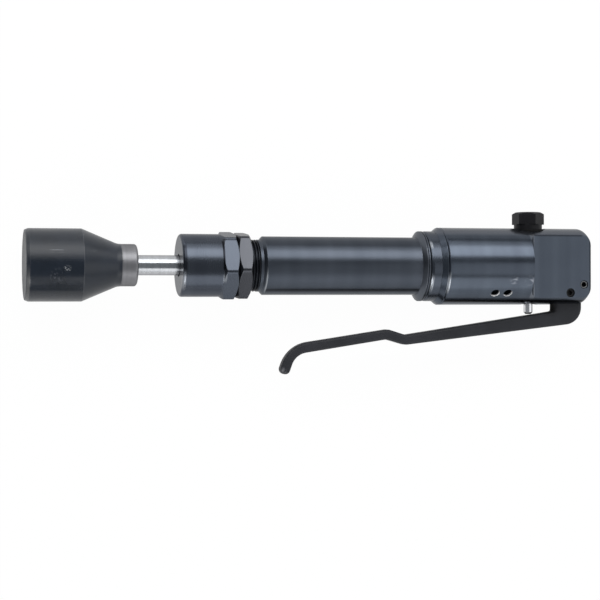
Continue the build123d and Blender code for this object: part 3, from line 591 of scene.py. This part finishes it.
# Finishes of two modelled pieces
THREAD_BLACK = blackened_steel(
    "thread_black", tint(0.030, 0.033, 0.040), tint(0.040, 0.044, 0.052), rough=0.36,
    soften=0.0001)
BARE_RIM = turned_bright("bare_edge", tint(0.90, 0.90, 0.91), 0.48, 0.00001)


def finish_nodes():
    """Gives each CAD piece its own finish or that of its material slot."""
    for piece in frame["record"]["subparts"]:
        node = frame["nodes"][piece["node"]]
        finish = OWN_FINISHES.get(piece["node"], FINISHES[piece["material_slot"]])
        node.material_slots[0].material = finish


# Modelled pieces: points nearer than this are one, and edges sharper than this stay sharp
SAME_POINT = 0.00001
SHARP_EDGE = math.radians(35)


def pick(piece, kind, test):
    """Selects the vertices or edges of a piece whose middle passes the test, in edit mode."""
    bpy.ops.object.mode_set(mode="EDIT")
    bpy.ops.mesh.select_mode(type=kind)
    bpy.ops.mesh.select_all(action="DESELECT")
    bpy.ops.object.mode_set(mode="OBJECT")
    corners = piece.data.vertices
    if kind == "VERT":
        for v in corners:
            v.select = test(v.co)
    else:
        for e in piece.data.edges:
            first, second = e.vertices
            e.select = test((corners[first].co + corners[second].co) / 2)
    bpy.ops.object.mode_set(mode="EDIT")


def wind(piece, axis, pitch, turns, steps):
    """Winds a section about an axis of the piece and closes both ends of the coil."""
    screw = piece.modifiers.new("wind", "SCREW")
    screw.axis = axis
    screw.angle = 2 * math.pi
    screw.screw_offset = pitch
    screw.iterations = turns
    screw.steps = steps
    screw.render_steps = steps
    bpy.ops.object.modifier_apply(modifier="wind")
    bpy.ops.object.mode_set(mode="EDIT")
    bpy.ops.mesh.select_all(action="SELECT")
    bpy.ops.mesh.remove_doubles(threshold=SAME_POINT)
    bpy.ops.mesh.select_all(action="DESELECT")
    bpy.ops.mesh.select_mode(type="EDGE")
    bpy.ops.mesh.select_non_manifold(extend=False)
    bpy.ops.mesh.edge_face_add()
    bpy.ops.mesh.select_all(action="SELECT")
    bpy.ops.mesh.normals_make_consistent(inside=False)
    bpy.ops.object.mode_set(mode="OBJECT")


def settle(piece):
    """Puts a finished piece's place into its mesh and shades it."""
    bpy.ops.object.select_all(action="DESELECT")
    piece.select_set(True)
    bpy.context.view_layer.objects.active = piece
    bpy.ops.object.transform_apply(location=True, rotation=True, scale=True)
    bpy.ops.object.shade_smooth_by_angle(angle=SHARP_EDGE)


# Thread ridges: share of the pitch that a ridge covers at its root, share of that left at its
# crest, and steps in a turn
THREAD_ROOT = 0.98
THREAD_CREST = 0.16
THREAD_STEPS = 72

BARREL_THREAD = dict(turns=4, pitch=0.0019, root=0.01585, crest=0.01705)
BARREL_THREAD_IN_NUT = 0.0012
INLET_THREAD = dict(start=-0.0150, turns=10, pitch=0.00134, root=0.0063, crest=0.0056)


def add_thread(name, start, turns, pitch, root, crest):
    """One thread ridge wound about the tool axis, from a flat that becomes its section."""
    bpy.ops.object.select_all(action="DESELECT")
    bpy.ops.mesh.primitive_plane_add(size=1, location=(start, (root + crest) / 2, 0))
    thread = bpy.context.object
    thread.name = name
    bpy.ops.object.mode_set(mode="EDIT")
    bpy.ops.transform.resize(value=(pitch * THREAD_ROOT, abs(crest - root), 1))
    outwards = 1 if crest > root else -1
    pick(thread, "VERT", lambda c: c.y * outwards > 0)
    bpy.ops.transform.resize(value=(THREAD_CREST, 1, 1))
    bpy.ops.mesh.select_all(action="SELECT")
    bpy.ops.mesh.delete(type="ONLY_FACE")
    bpy.ops.object.mode_set(mode="OBJECT")
    bpy.ops.object.transform_apply(location=True)
    wind(thread, "X", pitch, turns, THREAD_STEPS)
    settle(thread)
    return thread


def add_barrel_thread():
    """Thread left showing between the lock nut and the barrel's shoulder."""
    nut_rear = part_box("lock_nut")[1][0]
    thread = add_thread("barrel_thread", nut_rear - BARREL_THREAD_IN_NUT, **BARREL_THREAD)
    thread.data.materials.append(THREAD_BLACK)
    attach(thread, "housing")


def add_inlet_thread():
    """Pipe thread inside the air inlet."""
    thread = add_thread("inlet_thread", **INLET_THREAD)
    thread.data.materials.append(FINISHES["black_steel"])
    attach(thread, "housing")


# Throttle spring: half the wire's thickness, corners round the wire, turns, steps in a turn
SPRING_WIRE = 0.0006
SPRING_CORNERS = 16
SPRING_TURNS = 5
SPRING_STEPS = 48


def add_throttle_spring():
    """Coil spring over the throttle valve, fixed to the housing.

    The real spring closes up towards the cap as the valve lifts; this coil keeps its length.
    """
    low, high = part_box("throttle_spring")
    middle = (low[0] + high[0]) / 2
    coil_radius = (high[0] - low[0]) / 2 - SPRING_WIRE
    pitch = (high[1] - low[1] - 2 * SPRING_WIRE) / SPRING_TURNS
    bpy.ops.object.select_all(action="DESELECT")
    bpy.ops.mesh.primitive_circle_add(
        vertices=SPRING_CORNERS, radius=SPRING_WIRE, fill_type="NOTHING",
        location=(coil_radius, 0, 0))
    spring = bpy.context.object
    spring.name = "throttle_coil"
    bpy.ops.object.transform_apply(location=True)
    wind(spring, "Y", pitch, SPRING_TURNS, SPRING_STEPS)
    spring.location = (middle, low[1] + SPRING_WIRE, 0)
    settle(spring)
    spring.data.materials.append(FINISHES["spring_steel"])
    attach(spring, "housing")
    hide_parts("throttle_spring")
    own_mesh(spring)


# The two exhaust holes in the head: places along the axis, drop below the axis, radius of the
# bore, and distance of a rim's outer edge from the axis
EXHAUST_HOLES = {"exhaust_rim_front": -0.0701, "exhaust_rim_rear": -0.0612}
EXHAUST_DROP = math.radians(44.8)
EXHAUST_RADIUS = 0.0031
EXHAUST_TOP = 0.02578

# Their rims: corners round a rim, play in the bore, thickness, sideways shift of the inner edge,
# and the depths of the countersink, of the wall and of the slope back to the bore
RIM_CORNERS = 72
RIM_PLAY = 0.00001
RIM_THICKNESS = 0.00022
RIM_SHIFT = (-0.00018, 0.00008)
RIM_SINK = 0.0005
RIM_WALL = 0.0010
RIM_BACK = 0.0002


def add_exhaust_rims():
    """Bare countersunk rims of the exhaust holes, one ring modelled and copied."""
    outer = EXHAUST_RADIUS - RIM_PLAY
    inner = EXHAUST_RADIUS - RIM_THICKNESS
    across, up = RIM_SHIFT
    bottom = -RIM_SINK - RIM_WALL - RIM_BACK
    bpy.ops.object.select_all(action="DESELECT")
    bpy.ops.mesh.primitive_circle_add(
        vertices=RIM_CORNERS, radius=outer, fill_type="NOTHING", location=(0, 0, 0))
    ring = bpy.context.object
    bpy.ops.object.mode_set(mode="EDIT")
    bpy.ops.mesh.select_all(action="SELECT")
    bpy.ops.mesh.extrude_region()
    bpy.ops.transform.resize(value=(inner / outer, inner / outer, 1))
    bpy.ops.transform.translate(value=(across, up, -RIM_SINK))
    bpy.ops.mesh.extrude_region()
    bpy.ops.transform.translate(value=(0, 0, -RIM_WALL))
    bpy.ops.mesh.extrude_region()
    bpy.ops.transform.resize(value=(outer / inner, outer / inner, 1))
    bpy.ops.transform.translate(value=(-across, -up, -RIM_BACK))
    pick(ring, "EDGE", lambda c: c.z > -SAME_POINT or c.z < bottom + SAME_POINT)
    bpy.ops.mesh.bridge_edge_loops()
    bpy.ops.mesh.select_all(action="SELECT")
    bpy.ops.mesh.normals_make_consistent(inside=False)
    bpy.ops.object.mode_set(mode="OBJECT")
    ring.data.materials.append(BARE_RIM)
    below = -EXHAUST_TOP * math.sin(EXHAUST_DROP)
    towards_camera = EXHAUST_TOP * math.cos(EXHAUST_DROP)
    for name, along in EXHAUST_HOLES.items():
        rim = ring.copy()
        rim.data = ring.data.copy()
        rim.name = name
        bpy.context.scene.collection.objects.link(rim)
        rim.rotation_euler = (EXHAUST_DROP, 0, 0)
        rim.location = (along, below, towards_camera)
        settle(rim)
        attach(rim, "housing")
    bpy.data.objects.remove(ring)


add_camera()
add_floor()
add_world()
for name, box in SOFTBOXES.items():
    add_softbox(name, **box)
finish_nodes()
add_barrel_thread()
add_inlet_thread()
add_throttle_spring()
add_exhaust_rims()
bpy.context.scene.view_settings.view_transform = "Standard"
